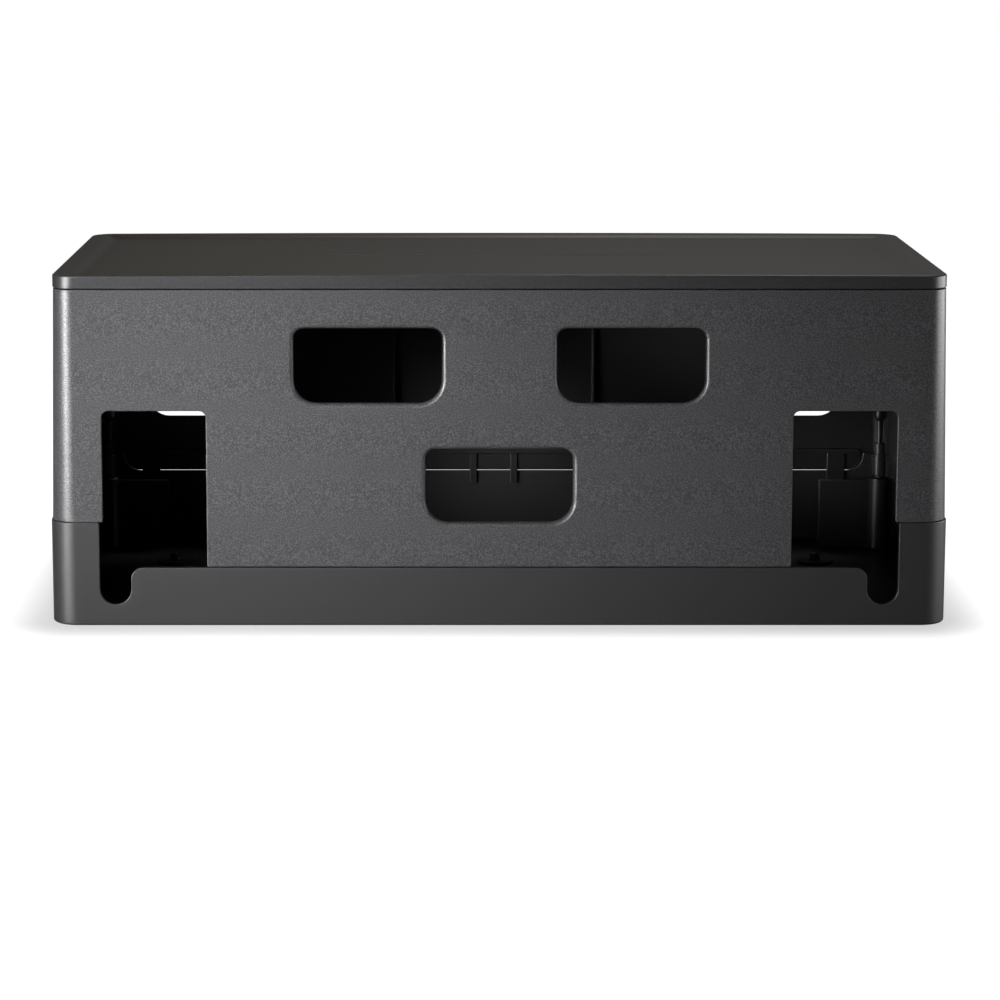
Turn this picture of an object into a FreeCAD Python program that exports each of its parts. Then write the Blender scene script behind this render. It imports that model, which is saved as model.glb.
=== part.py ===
import FreeCAD, Part
import math
import os

V = FreeCAD.Vector
UP = V(0, 0, 1)

# The box stands on its feet at Z = 0, centred on X and Y.
# The cable side, with the three holes and the two cord notches, faces -Y.

# Driving sizes of the whole box, in mm
box_width = 406.0
box_depth = 178.0
box_height = 160.4
corner_radius = 12.0
wall = 2.8

# Base tray
seam_height = 48.3
floor_thickness = 2.7
tray_base_round = 1.2
rear_wall_height = 27.6
notch_width = 14.0
notch_bottom = 10.7
notch_shoulder = 5.3
notch_outward = 1.7
front_drop = 9.3
front_drop_margin = 3.7
locator_width = 12.0
locator_thickness = 1.6
locator_rise = 4.0
locator_root = 12.0
locator_pitch = 70.0

# Corner posts of the cover and the sockets that they stand in
post_inset_x = 10.0
post_inset_y = 21.0
post_boss_radius = 3.1
post_boss_bottom = 67.8
post_boss_taper = 2.0
post_rod_radius = 1.5
socket_outer_radius = 5.0
socket_drop = 9.0
socket_depth = 8.0
gusset_thickness = 2.0
gusset_length = 30.0
gusset_drop = 1.2

# Soft bush on the end of each post
bush_body_radius = 3.3
bush_body_length = 9.3
bush_collar_radius = 3.6
bush_collar_thickness = 1.6
bush_neck_radius = 2.2
bush_neck_length = 1.0
bush_sleeve_radius = 2.7
bush_sleeve_length = 5.1
bush_nose_radius = 2.4
bush_nose_length = 6.5
bush_nose_chamfer = 0.6
bush_core_radius = 1.0
bush_tip = 2.0

# Cover shell
cover_step = 0.6
cover_draft = 0.02
seam_gap_rear = 0.35
seam_gap_front = 0.7
ledge_width = 12.0
ledge_thickness = 2.5
cutout_side_inset = 24.4
cutout_width = 46.8
cutout_top = 98.95
cutout_radius = 3.1

# Cable holes, three at the rear and two at the front
hole_width = 66.2
hole_height = 33.3
hole_top_radius = 4.7
hole_low_radius = 10.4
hole_round = 2.2
hole_land = 0.4
hole_pitch = 118.0
upper_row_lift = 2.2
lower_row_lift = 0.9
front_hole_inset = 28.7
front_hole_bottom = 67.55

# Ribs and tabs inside the cover's front wall
rib_pitch = 100.0
rib_thickness = 1.5
rib_depth = 3.0
rail_depth = 2.0
rail_height = 2.5
rail_end_margin = 6.0
tab_pitch = 20.5
tab_width = 3.6
hook_width = 9.0
hook_inset = 29.5
tab_reach = 6.0
tab_thickness = 1.5

# Lid
lid_edge_height = 5.9
lid_edge_thickness = 2.0
lid_overhang = 0.3
lid_reveal = 0.9
lid_rim_width = 6.0
lid_dish_depth = 1.6
lid_dish_slope = 8.0
lid_plate = 2.4
lid_edge_round = 0.8
lid_skirt_depth = 8.0
lid_skirt_thickness = 1.8
mouth_corner_radius = 2.0

# Pads that the lid rests on
pad_radius = 3.5
pad_seat = 0.8
pad_chamfer = 0.5
pad_from_front = 28.0

# Push-in feet
foot_radius = 7.0
foot_proud = 0.8
foot_seat = 1.6
foot_neck_radius = 1.9
foot_bulb_radius = 2.9
foot_bulb_height = 3.6
foot_inset_x = 46.0
foot_inset_y = 57.0
foot_boss_height = 1.4
foot_boss_margin = 2.0
foot_chamfer = 0.4

# Clearances
slide_clearance = 0.1
lid_clearance = 0.4
wall_clearance = 0.3
foot_clearance = 0.15

# How far a cutting tool runs past the face that it starts from
past = 1.0

# How near an edge lies to a level or a face to count as being on it
on_face = 0.05

# Levels and half sizes worked out from the values above
tray_bottom = foot_proud
floor_top = tray_bottom + floor_thickness
floor_middle = tray_bottom + floor_thickness / 2
half_width = box_width / 2
half_depth = box_depth / 2
cover_top = box_height - lid_edge_height - lid_reveal
cover_low = rear_wall_height + seam_gap_rear
tongue_level = seam_height - front_drop
socket_top = seam_height - socket_drop
cutout_outer = half_width - cutout_side_inset
cutout_inner = cutout_outer - cutout_width
post_x = half_width - post_inset_x
post_y = half_depth - post_inset_y
foot_x = half_width - foot_inset_x
foot_y = half_depth - foot_inset_y
ledge_bottom = cover_top - ledge_thickness
corners = [("rear_left", -1, -1), ("rear_right", 1, -1), ("front_left", -1, 1), ("front_right", 1, 1)]


def cover_half(half, z):
    """Half size of the cover's outside at height z: it narrows towards its top."""
    return half - cover_step - (z - seam_height) * cover_draft


def polygon_face(points):
    return Part.Face(Part.makePolygon(points + [points[0]]))


def frustum(low_x, low_y, low_z, high_x, high_y, high_z):
    """A solid with flat sides between a low and a high rectangle, both given by half sizes."""
    signs = [(-1, -1), (1, -1), (1, 1), (-1, 1)]
    low = [V(sx * low_x, sy * low_y, low_z) for sx, sy in signs]
    high = [V(sx * high_x, sy * high_y, high_z) for sx, sy in signs]
    faces = [polygon_face(low[::-1]), polygon_face(high)]
    for i in range(4):
        j = (i + 1) % 4
        faces.append(polygon_face([low[i], low[j], high[j], high[i]]))
    return Part.makeSolid(Part.makeShell(faces))


def upright(radius_low, radius_high, z_low, z_high, x, y):
    """A cylinder, or a cone where its radii differ, standing along Z."""
    height = z_high - z_low
    if radius_low == radius_high:
        return Part.makeCylinder(radius_low, height, V(x, y, z_low), UP)
    return Part.makeCone(radius_low, radius_high, height, V(x, y, z_low), UP)


def rounded_block(half_x, half_y, radius, z_low, z_high, inset_high=0.0):
    """A block with round upright corners, whose sides lean in by inset_high at its top."""
    core_x = half_x - radius
    core_y = half_y - radius
    wide = frustum(half_x, core_y, z_low, half_x - inset_high, core_y, z_high)
    deep = frustum(core_x, half_y, z_low, core_x, half_y - inset_high, z_high)
    body = wide.fuse(deep)
    posts = []
    for sx in (-1, 1):
        for sy in (-1, 1):
            posts.append(upright(radius, radius - inset_high, z_low, z_high, sx * core_x, sy * core_y))
    return body.fuse(posts).removeSplitter()


def box(x_low, x_high, y_low, y_high, z_low, z_high):
    return Part.makeBox(x_high - x_low, y_high - y_low, z_high - z_low, V(x_low, y_low, z_low))


def wall_profile(points, radii, y_low, y_high):
    """A prism along Y from a closed outline of (x, z) points, each corner rounded by its radius."""
    count = len(points)
    starts = []
    ends = []
    arcs = []
    for i in range(count):
        here = V(points[i][0], 0, points[i][1])
        before = V(points[i - 1][0], 0, points[i - 1][1]) - here
        after = V(points[(i + 1) % count][0], 0, points[(i + 1) % count][1]) - here
        radius = radii[i]
        if radius <= 0:
            starts.append(here)
            ends.append(here)
            arcs.append(None)
            continue
        before.normalize()
        after.normalize()
        half_turn = before.getAngle(after) / 2
        reach = radius / math.tan(half_turn)
        centre_line = before + after
        centre_line.normalize()
        middle = here + centre_line * (radius / math.sin(half_turn) - radius)
        starts.append(here + before * reach)
        ends.append(here + after * reach)
        arcs.append(middle)
    edges = []
    for i in range(count):
        if arcs[i] is not None:
            edges.append(Part.Arc(starts[i], arcs[i], ends[i]).toShape())
        following = starts[(i + 1) % count]
        if not ends[i].isEqual(following, on_face):
            edges.append(Part.LineSegment(ends[i], following).toShape())
    face = Part.Face(Part.Wire(edges))
    face.translate(V(0, y_low, 0))
    return face.extrude(V(0, y_high - y_low, 0))


def turned(profile, x, y):
    """A solid of revolution about the upright line at x, y, from (radius, z) points."""
    points = [V(r, 0, z) for r, z in profile]
    solid = polygon_face(points).revolve(V(0, 0, 0), UP, 360)
    solid.translate(V(x, y, 0))
    return solid


def hole_tool(centre_x, low_z, y_low, y_high):
    """The cable hole's outline, with large lower and small upper corners, through a wall."""
    left = centre_x - hole_width / 2
    right = centre_x + hole_width / 2
    high_z = low_z + hole_height
    outline = [(left, low_z), (right, low_z), (right, high_z), (left, high_z)]
    radii = [hole_low_radius, hole_low_radius, hole_top_radius, hole_top_radius]
    return wall_profile(outline, radii, y_low, y_high)


def rear_holes():
    """Centre X and lowest Z of the three holes in the rear wall: a pair above, one below."""
    row_space = (cover_top - rear_wall_height - 2 * hole_height) / 3
    lower = rear_wall_height + row_space + lower_row_lift
    upper = rear_wall_height + 2 * row_space + hole_height + upper_row_lift
    return [(-hole_pitch / 2, upper), (hole_pitch / 2, upper), (0.0, lower)]


def front_holes():
    offset = half_width - front_hole_inset - hole_width / 2
    return [(-offset, front_hole_bottom), (offset, front_hole_bottom)]


def tray_cutaway():
    """What is taken from the tray's rear wall: its low middle and the two U notches for cords."""
    outer = cutout_outer + notch_outward
    inner = outer - notch_width
    nook = notch_width / 2
    top = seam_height + past
    right = [(outer, notch_bottom), (outer, top)]
    left = [(-outer, top), (-outer, notch_bottom)]
    outline = [(inner, rear_wall_height), (inner, notch_bottom)] + right + left
    outline += [(-inner, notch_bottom), (-inner, rear_wall_height)]
    radii = [notch_shoulder, nook, nook, 0, 0, nook, nook, notch_shoulder]
    return wall_profile(outline, radii, -half_depth - past, -half_depth + wall + past)


def tongue_tool(gap, y_low, y_high):
    """The dropped middle of the front seam, smaller by a gap all round: its ends are quarter circles."""
    side = half_width - corner_radius - front_drop_margin - gap
    low = seam_height - front_drop + gap
    top = seam_height + past
    bend = front_drop - gap
    outline = [(-side, top), (-side, low), (side, low), (side, top)]
    return wall_profile(outline, [0, bend, bend, 0], y_low, y_high)


def socket_column(sx, sy):
    """A column for one corner post, its web to the side wall and, in front, a long gusset."""
    x = sx * post_x
    y = sy * post_y
    half_rib = gusset_thickness / 2
    solids = [upright(socket_outer_radius, socket_outer_radius, floor_middle, socket_top, x, y)]
    low_x, high_x = sorted((x, sx * (half_width - wall / 2)))
    solids.append(box(low_x, high_x, y - half_rib, y + half_rib, floor_middle, socket_top - gusset_drop))
    if sy > 0:
        low_x, high_x = sorted((x, x - sx * gusset_length))
        gusset_top = tongue_level - gusset_drop
        solids.append(box(low_x, high_x, y - half_rib, y + half_rib, floor_middle, gusset_top))
    return solids


def locator(sx, sy):
    """A tongue on the tray's side wall that stands up inside the cover and keeps it in line."""
    inside_cover = cover_half(half_width, seam_height + locator_rise) - wall
    outer = inside_cover - wall_clearance
    inner = outer - locator_thickness
    y_low = sy * locator_pitch / 2 - locator_width / 2
    y_high = y_low + locator_width
    z_low = seam_height - locator_root
    root_low, root_high = sorted((sx * inner, sx * (half_width - wall / 2)))
    tongue_low, tongue_high = sorted((sx * inner, sx * outer))
    root = box(root_low, root_high, y_low, y_high, z_low, seam_height)
    tongue = box(tongue_low, tongue_high, y_low, y_high, z_low, seam_height + locator_rise)
    return [root, tongue]


def make_tray():
    body = rounded_block(half_width, half_depth, corner_radius, tray_bottom, seam_height)
    base_edges = [e for e in body.Edges if e.BoundBox.ZMax < tray_bottom + on_face]
    body = body.makeFillet(tray_base_round, base_edges)
    cavity = rounded_block(half_width - wall, half_depth - wall, corner_radius - wall, floor_top,
                           seam_height + past)
    body = body.cut([cavity, tray_cutaway(), tongue_tool(0, half_depth - wall - past, half_depth + past)])

    boss_radius = foot_radius + foot_boss_margin
    boss_top = floor_top + foot_boss_height
    additions = []
    for name, sx, sy in corners:
        additions += socket_column(sx, sy)
        additions += locator(sx, sy)
        boss = upright(boss_radius, boss_radius, floor_middle, boss_top, sx * foot_x, sy * foot_y)
        additions.append(boss)
    body = body.fuse(additions).removeSplitter()

    bores = []
    for name, sx, sy in corners:
        bore_radius = bush_nose_radius + slide_clearance
        bores.append(upright(bore_radius, bore_radius, socket_top - socket_depth, socket_top + past,
                             sx * post_x, sy * post_y))
        x = sx * foot_x
        y = sy * foot_y
        seat_radius = foot_radius + foot_clearance
        neck_radius = foot_neck_radius + foot_clearance
        bores.append(upright(seat_radius, seat_radius, tray_bottom - past, tray_bottom + foot_seat, x, y))
        bores.append(upright(neck_radius, neck_radius, tray_bottom, boss_top + past, x, y))
    return body.cut(bores)


def make_foot(sx, sy):
    """A rubber foot: a pad below the floor, a neck through it and a bulb that keeps it in."""
    pad_top = tray_bottom + foot_seat
    neck_top = floor_top + foot_boss_height
    bulb_wide = neck_top + foot_bulb_height - foot_bulb_radius
    profile = [(0, 0), (foot_radius - foot_chamfer, 0), (foot_radius, foot_chamfer), (foot_radius, pad_top)]
    profile += [(foot_neck_radius, pad_top), (foot_neck_radius, neck_top)]
    profile += [(foot_bulb_radius, neck_top)]
    steps = 6
    for i in range(steps + 1):
        angle = math.pi / 2 * i / steps
        profile.append((foot_bulb_radius * math.cos(angle), bulb_wide + foot_bulb_radius * math.sin(angle)))
    return turned(profile, sx * foot_x, sy * foot_y)


def bush_levels():
    """Heights of the bush: nose tip, body low, body high and the top of its sleeve."""
    body_low = socket_top + wall_clearance
    nose_tip = body_low - bush_nose_length
    body_high = body_low + bush_body_length
    sleeve_high = body_high + bush_collar_thickness + bush_neck_length + bush_sleeve_length
    return nose_tip, body_low, body_high, sleeve_high


def make_bush(sx, sy):
    """A soft bush on the post's pin: a nose for the socket, a body, a collar, a neck and a sleeve."""
    nose_tip, body_low, body_high, sleeve_high = bush_levels()
    collar_high = body_high + bush_collar_thickness
    sleeve_low = collar_high + bush_neck_length
    slope = bush_body_radius - bush_nose_radius
    profile = [(0, nose_tip), (bush_nose_radius - bush_nose_chamfer, nose_tip)]
    profile += [(bush_nose_radius, nose_tip + bush_nose_chamfer)]
    profile += [(bush_nose_radius, body_low), (bush_body_radius, body_low + slope)]
    profile += [(bush_body_radius, body_high), (bush_collar_radius, body_high)]
    profile += [(bush_collar_radius, collar_high), (bush_neck_radius, collar_high)]
    profile += [(bush_neck_radius, sleeve_low), (bush_sleeve_radius, sleeve_low)]
    profile += [(bush_sleeve_radius, sleeve_high), (bush_core_radius, sleeve_high)]
    profile += [(bush_core_radius, nose_tip + bush_tip), (0, nose_tip + bush_tip)]
    return turned(profile, sx * post_x, sy * post_y)


def make_post(sx, sy):
    """A corner post of the cover: a boss under the ledge, a rod and a thin pin in the bush."""
    nose_tip, body_low, body_high, sleeve_high = bush_levels()
    profile = [(0, nose_tip + bush_tip), (bush_core_radius, nose_tip + bush_tip)]
    profile += [(bush_core_radius, sleeve_high), (post_rod_radius, sleeve_high)]
    root = ledge_bottom + ledge_thickness / 2
    profile += [(post_rod_radius, post_boss_bottom), (post_boss_radius, post_boss_bottom + post_boss_taper)]
    profile += [(post_boss_radius, root), (0, root)]
    return turned(profile, sx * post_x, sy * post_y)


def hole_edges(shape, centre_x, low_z, outer_side):
    """The edges of one cable hole that lie on the outside of the cover."""
    reach = hole_width / 2 + on_face
    found = []
    for edge in shape.Edges:
        bounds = edge.BoundBox
        inside_x = bounds.XMin > centre_x - reach and bounds.XMax < centre_x + reach
        inside_z = bounds.ZMin > low_z - on_face and bounds.ZMax < low_z + hole_height + on_face
        middle_z = (bounds.ZMin + bounds.ZMax) / 2
        middle_y = (bounds.YMin + bounds.YMax) / 2
        face_y = outer_side * cover_half(half_depth, middle_z)
        if inside_x and inside_z and abs(middle_y - face_y) < on_face:
            found.append(edge)
    return found


def cover_prism(inset, z_low, z_high):
    """The cover's outer form between two heights, moved inwards by inset."""
    lean = (z_high - z_low) * cover_draft
    return rounded_block(cover_half(half_width, z_low) - inset, cover_half(half_depth, z_low) - inset,
                         cover_half(corner_radius, z_low) - inset, z_low, z_high, lean)


def mouth_block(inset, z_low, z_high):
    """The form of the cover's open top, inside its ledge, moved inwards by inset."""
    half_x = cover_half(half_width, cover_top) - ledge_width - inset
    half_y = cover_half(half_depth, cover_top) - ledge_width - inset
    return rounded_block(half_x, half_y, mouth_corner_radius, z_low, z_high)


def below_the_seam():
    """All that is taken away under the seam: only the rear and the front tongue are left."""
    low = cover_low - 2 * past
    reach_x = half_width + past
    reach_y = half_depth + past
    block = box(-reach_x, reach_x, -reach_y, reach_y, low, seam_height)
    rear_keep = box(-cutout_inner, cutout_inner, -reach_y - past, 0, low - past, seam_height + past)
    front_keep = tongue_tool(seam_gap_front, 0, reach_y + past)
    return block.cut([rear_keep, front_keep])


def make_cover():
    body = cover_prism(0, cover_low, cover_top)
    cavity = cover_prism(wall, cover_low - past, ledge_bottom)
    mouth = mouth_block(0, ledge_bottom - past, cover_top + past)
    body = body.cut([cavity, mouth, below_the_seam()])

    # Corner cut-outs over the cord notches, open at the bottom
    tools = []
    outside = half_depth + past
    inside = cover_half(half_depth, cover_top) - wall - past
    for sx in (-1, 1):
        low_x, high_x = sorted((sx * cutout_inner, sx * cutout_outer))
        low_z = cover_low - past
        outline = [(low_x, low_z), (high_x, low_z), (high_x, cutout_top), (low_x, cutout_top)]
        tools.append(wall_profile(outline, [0, 0, cutout_radius, cutout_radius], -outside, -inside))
    for centre_x, low_z in rear_holes():
        tools.append(hole_tool(centre_x, low_z, -outside, -inside))
    for centre_x, low_z in front_holes():
        tools.append(hole_tool(centre_x, low_z, inside, outside))
    body = body.cut(tools)

    rounding = min(hole_round, wall - hole_land)
    edges = []
    for centre_x, low_z in rear_holes():
        edges += hole_edges(body, centre_x, low_z, -1)
    for centre_x, low_z in front_holes():
        edges += hole_edges(body, centre_x, low_z, 1)
    body = body.makeFillet(rounding, edges)

    additions = [make_post(sx, sy) for name, sx, sy in corners]
    additions += front_ribs()
    body = body.fuse(additions).removeSplitter()
    seat_radius = pad_radius + slide_clearance
    seats = [upright(seat_radius, seat_radius, cover_top - pad_seat, cover_top + past, x, y)
             for name, x, y in pad_places()]
    return body.cut(seats)


def front_ribs():
    """Stiffening ribs, the rail over the front seam and the tabs that line it up with the tray."""
    rail_top = seam_height + rail_height
    face_at_rail = cover_half(half_depth, rail_top) - wall
    face_at_top = cover_half(half_depth, ledge_bottom) - wall
    rail_half = half_width - corner_radius - rail_end_margin
    rail_face = face_at_rail - rail_depth
    solids = [box(-rail_half, rail_half, rail_face, face_at_rail + wall / 2, seam_height, rail_top)]
    for sx in (-1, 1):
        low_x = sx * rib_pitch / 2 - rib_thickness / 2
        solids.append(box(low_x, low_x + rib_thickness, face_at_top - rib_depth, face_at_top + wall / 2,
                          seam_height, ledge_bottom + ledge_thickness / 2))
    tab_back = half_depth - wall - wall_clearance
    tab_low = tongue_level - tab_reach
    hook_x = half_width - hook_inset
    for x, width in [(hook_x, hook_width), (tab_pitch / 2, tab_width)]:
        for sx in (-1, 1):
            low_x = sx * x - width / 2
            solids.append(box(low_x, low_x + width, tab_back - tab_thickness, tab_back, tab_low, rail_top))
    return solids


def pad_places():
    """Where the four lid pads sit, on the cover's ledge near its ends."""
    x = cover_half(half_width, cover_top) - ledge_width / 2
    y = cover_half(half_depth, cover_top) - pad_from_front
    return [(name, sx * x, sy * y) for name, sx, sy in corners]


def lid_underside():
    return box_height - lid_dish_depth - lid_plate


def make_pad(x, y):
    """A round pad with a bevelled top edge, in its seat on the ledge."""
    low = cover_top - pad_seat
    high = lid_underside()
    profile = [(0, low), (pad_radius, low), (pad_radius, high - pad_chamfer)]
    profile += [(pad_radius - pad_chamfer, high), (0, high)]
    return turned(profile, x, y)


def make_lid():
    half_x = cover_half(half_width, cover_top) + lid_overhang
    half_y = cover_half(half_depth, cover_top) + lid_overhang
    radius = cover_half(corner_radius, cover_top) + lid_overhang
    low = box_height - lid_edge_height
    body = rounded_block(half_x, half_y, radius, low, box_height)
    top_edges = [e for e in body.Edges if e.BoundBox.ZMin > box_height - on_face]
    body = body.makeFillet(lid_edge_round, top_edges)

    # The dish slopes down from the rim to its floor
    dish_x = half_x - lid_rim_width
    dish_y = half_y - lid_rim_width
    rim_line = rounded_wire(dish_x, dish_y, radius, box_height)
    floor_line = rounded_wire(dish_x - lid_dish_slope, dish_y - lid_dish_slope, radius,
                              box_height - lid_dish_depth)
    dish = Part.makeLoft([floor_line, rim_line], True, True)

    edge = lid_edge_thickness
    hollow = rounded_block(half_x - edge, half_y - edge, radius - edge, low - past, lid_underside())
    body = body.cut([dish, hollow])

    # The locating skirt drops through the cover's mouth
    root = lid_underside() + lid_plate / 2
    skirt_low = cover_top - lid_skirt_depth
    outer = mouth_block(lid_clearance, skirt_low, root)
    inner = mouth_block(lid_clearance + lid_skirt_thickness, skirt_low - past, lid_underside())
    return body.fuse(outer.cut(inner)).removeSplitter()


def rounded_wire(half_x, half_y, radius, z):
    """A closed outline of four lines and four quarter circles at height z."""
    bend = radius * (1 - math.sqrt(0.5))
    edges = []
    turns = [(1, -1), (1, 1), (-1, 1), (-1, -1)]
    for i in range(4):
        sx, sy = turns[i]
        along_y = V(sx * half_x, sy * (half_y - radius), z)
        along_x = V(sx * (half_x - radius), sy * half_y, z)
        middle = V(sx * (half_x - bend), sy * (half_y - bend), z)
        first, last = (along_x, along_y) if sx * sy < 0 else (along_y, along_x)
        edges.append(Part.Arc(first, middle, last).toShape())
        nx, ny = turns[(i + 1) % 4]
        if sx == nx:
            following = V(nx * half_x, ny * (half_y - radius), z)
        else:
            following = V(nx * (half_x - radius), ny * half_y, z)
        edges.append(Part.LineSegment(last, following).toShape())
    return Part.Wire(edges)


def save(name, shape):
    if not shape.isValid():
        print("not valid:", name)
    shape.exportStep(os.path.join("parts", name + ".step"))
    bounds = shape.BoundBox
    print(name, "solids", len(shape.Solids), "volume", round(shape.Volume, 1), "size",
          round(bounds.XLength, 2), round(bounds.YLength, 2), round(bounds.ZLength, 2),
          "from Z", round(bounds.ZMin, 2))


def main():
    os.makedirs("parts", exist_ok=True)
    save("base_tray", make_tray())
    save("cover_shell", make_cover())
    save("lid", make_lid())
    for name, sx, sy in corners:
        save("foot_" + name, make_foot(sx, sy))
        save("post_bush_" + name, make_bush(sx, sy))
    for name, x, y in pad_places():
        save("lid_pad_" + name, make_pad(x, y))


main()
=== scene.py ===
import math

import bmesh
import bpy
import numpy as np
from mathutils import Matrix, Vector
from mathutils.geometry import tessellate_polygon


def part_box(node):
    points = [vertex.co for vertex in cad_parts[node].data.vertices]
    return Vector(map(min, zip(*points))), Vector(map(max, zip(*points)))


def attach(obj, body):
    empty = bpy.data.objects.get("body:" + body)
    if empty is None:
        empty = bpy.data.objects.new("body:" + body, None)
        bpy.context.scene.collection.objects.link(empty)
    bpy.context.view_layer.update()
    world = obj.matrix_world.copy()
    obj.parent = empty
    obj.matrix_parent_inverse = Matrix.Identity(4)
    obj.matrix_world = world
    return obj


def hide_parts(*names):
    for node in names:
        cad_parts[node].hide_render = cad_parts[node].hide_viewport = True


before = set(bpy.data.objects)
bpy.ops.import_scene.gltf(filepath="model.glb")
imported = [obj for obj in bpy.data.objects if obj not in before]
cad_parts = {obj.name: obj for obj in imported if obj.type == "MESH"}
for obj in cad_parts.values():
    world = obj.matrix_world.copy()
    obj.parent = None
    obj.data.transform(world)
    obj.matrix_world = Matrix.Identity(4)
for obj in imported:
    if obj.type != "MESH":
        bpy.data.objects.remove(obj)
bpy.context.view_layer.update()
print("frame loaded")

mm = 0.001          # every shape is worked out in millimetres and put into its mesh in metres
cornerSteps = 12    # steps in each round upright corner
rimSteps = 6        # steps in each rounded edge
weldGap = 0.002     # vertices nearer than this are one, in mm
sharpAngle = 32     # edges that bend more than this stay sharp, in degrees
bevelAngle = 40     # edges that bend more than this are softened
flatWeight = 80     # how strongly large faces lead the shading

# Outside of the whole box, read from the frame
trayLow, trayHigh = (np.array(corner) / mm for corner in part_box("base_tray"))
lidLow, lidHigh = (np.array(corner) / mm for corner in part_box("lid"))
coverLow, coverHigh = (np.array(corner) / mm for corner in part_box("cover_shell"))

shared = {
    "halfX": trayHigh[0],       # half length and half depth at the tray
    "halfY": trayHigh[1],
    "radius": 12.0,             # round upright corners
    "wall": 2.8,
    "gap": 0.3,                 # room between walls that slide past each other
    "seam": 48.3,               # height where the tray's side walls meet the cover
    "postX": trayHigh[0] - 10.0,
    "postY": trayHigh[1] - 21.0,
    "arcSlack": 0.05,           # keeps neighbouring arcs of an outline from meeting
    "ribRound": 0.3,            # soft edges of every rib, web and tab
}


# Shapes

def boxLoop(halfX, halfY, radius, z):
    # A round-cornered rectangle: each corner's centre plus the radius along a turning direction.
    # It starts at the rear right corner, and the rear's straight side closes it.
    quarter = np.linspace(0, math.pi / 2, cornerSteps + 1)
    angle = np.concatenate([quarter + (k - 1) * math.pi / 2 for k in range(4)])
    centreX = (halfX - radius) * np.repeat([1, 1, -1, -1], cornerSteps + 1)
    centreY = (halfY - radius) * np.repeat([-1, 1, 1, -1], cornerSteps + 1)
    x = centreX + radius * np.cos(angle)
    y = centreY + radius * np.sin(angle)
    return np.stack([x, y, np.full_like(x, z)], -1)


def gridFaces(rows, columns, wrapRows=False, wrapColumns=False):
    # Four-sided faces between neighbouring rows and columns of a grid of points
    row = np.arange(rows if wrapRows else rows - 1)
    column = np.arange(columns if wrapColumns else columns - 1)
    row, column = np.meshgrid(row, column, indexing="ij")
    nextRow = (row + 1) % rows
    nextColumn = (column + 1) % columns
    corners = [row * columns + column, row * columns + nextColumn,
               nextRow * columns + nextColumn, nextRow * columns + column]
    return np.stack(corners, -1).reshape(-1, 4)


def loft(rings, part=None):
    # Rings of equal point counts joined in turn; part picks a stretch of each ring, which stays open
    rings = np.array(rings)
    if part is not None:
        rings = rings[:, part]
    faces = gridFaces(rings.shape[0], rings.shape[1], False, part is None)
    return rings.reshape(-1, 3), faces.tolist()


def capLoops(loops):
    # A flat face inside the first loop and outside the others
    points = np.concatenate(loops)
    faces = tessellate_polygon([[Vector(point) for point in loop] for loop in loops])
    return points, [list(face) for face in faces]


def turned(profile, x, y, steps=40):
    # Points (radius, height) carried once round the upright line at x, y
    angle = np.linspace(0, 2 * math.pi, steps, endpoint=False)
    profile = np.array(profile, float)
    points = np.stack([
        x + profile[:, 0, None] * np.cos(angle),
        y + profile[:, 0, None] * np.sin(angle),
        np.repeat(profile[:, 1, None], steps, 1),
    ], -1)
    faces = gridFaces(len(profile), steps, False, True)
    return points.reshape(-1, 3), faces.tolist()


def circleLoop(radius, x, y, z, steps=40):
    # A level circle of points: its centre plus the radius along a turning direction
    angle = np.linspace(0, 2 * math.pi, steps, endpoint=False)
    return np.stack([x + radius * np.cos(angle), y + radius * np.sin(angle), np.full(steps, z)], -1)


def bar(low, high):
    # A block between two corners
    corners = np.array([[a, b, c] for a in (low[0], high[0]) for b in (low[1], high[1])
                        for c in (low[2], high[2])], float)
    faces = [[0, 1, 3, 2], [4, 6, 7, 5], [0, 4, 5, 1], [2, 3, 7, 6], [0, 2, 6, 4], [1, 5, 7, 3]]
    return corners, faces


def slab(outline, rear, front):
    # An outline of x and z carried from one depth to another, with flat ends
    x, z = np.array(outline, float).T
    rings = [np.stack([x, np.full_like(x, y), z], -1) for y in (rear, front)]
    return [loft(rings), capLoops(rings[:1]), capLoops(rings[1:])]


def roundedPath(points, radii, closed=False):
    # A path through the corner points, each corner an arc of its radius that both its sides touch.
    # Returns the points and the unit normals to the left of the way that the path runs.
    points = np.array(points, float)
    count = len(points)
    path = []
    normals = []
    for i in range(count):
        here = points[i]
        arrive = here - points[i - 1]
        leave = points[(i + 1) % count] - here
        if not closed and i in (0, count - 1):
            way = leave if i == 0 else arrive
            way = way / np.linalg.norm(way)
            path.append(here[None])
            normals.append(np.array([[-way[1], way[0]]]))
            continue
        arrive = arrive / np.linalg.norm(arrive)
        leave = leave / np.linalg.norm(leave)
        bend = math.atan2(arrive[0] * leave[1] - arrive[1] * leave[0], arrive @ leave)
        left = np.array([-arrive[1], arrive[0]])
        side = math.copysign(1, bend)
        start = here - arrive * radii[i] * math.tan(abs(bend) / 2)
        centre = start + left * side * radii[i]
        steps = max(3, int(4 + 1.2 * radii[i]))     # larger arcs get more steps
        turn = np.linspace(0, bend, steps + 1)[:, None]
        normal = left * np.cos(turn) + np.array([-left[1], left[0]]) * np.sin(turn)
        path.append(centre - normal * side * radii[i])
        normals.append(normal)
    return np.concatenate(path), np.concatenate(normals)


def edgeProfile(outerRound, innerRound, thickness):
    # A wall's edge from its outer face to its inner face: how far it lies back, and how deep
    phi = np.linspace(0, math.pi / 2, rimSteps + 1)
    back = np.concatenate([outerRound * (1 - np.sin(phi)), innerRound * (1 - np.cos(phi))])
    depth = np.concatenate([outerRound * (1 - np.cos(phi)), thickness - innerRound * (1 - np.sin(phi))])
    return back, depth


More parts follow.
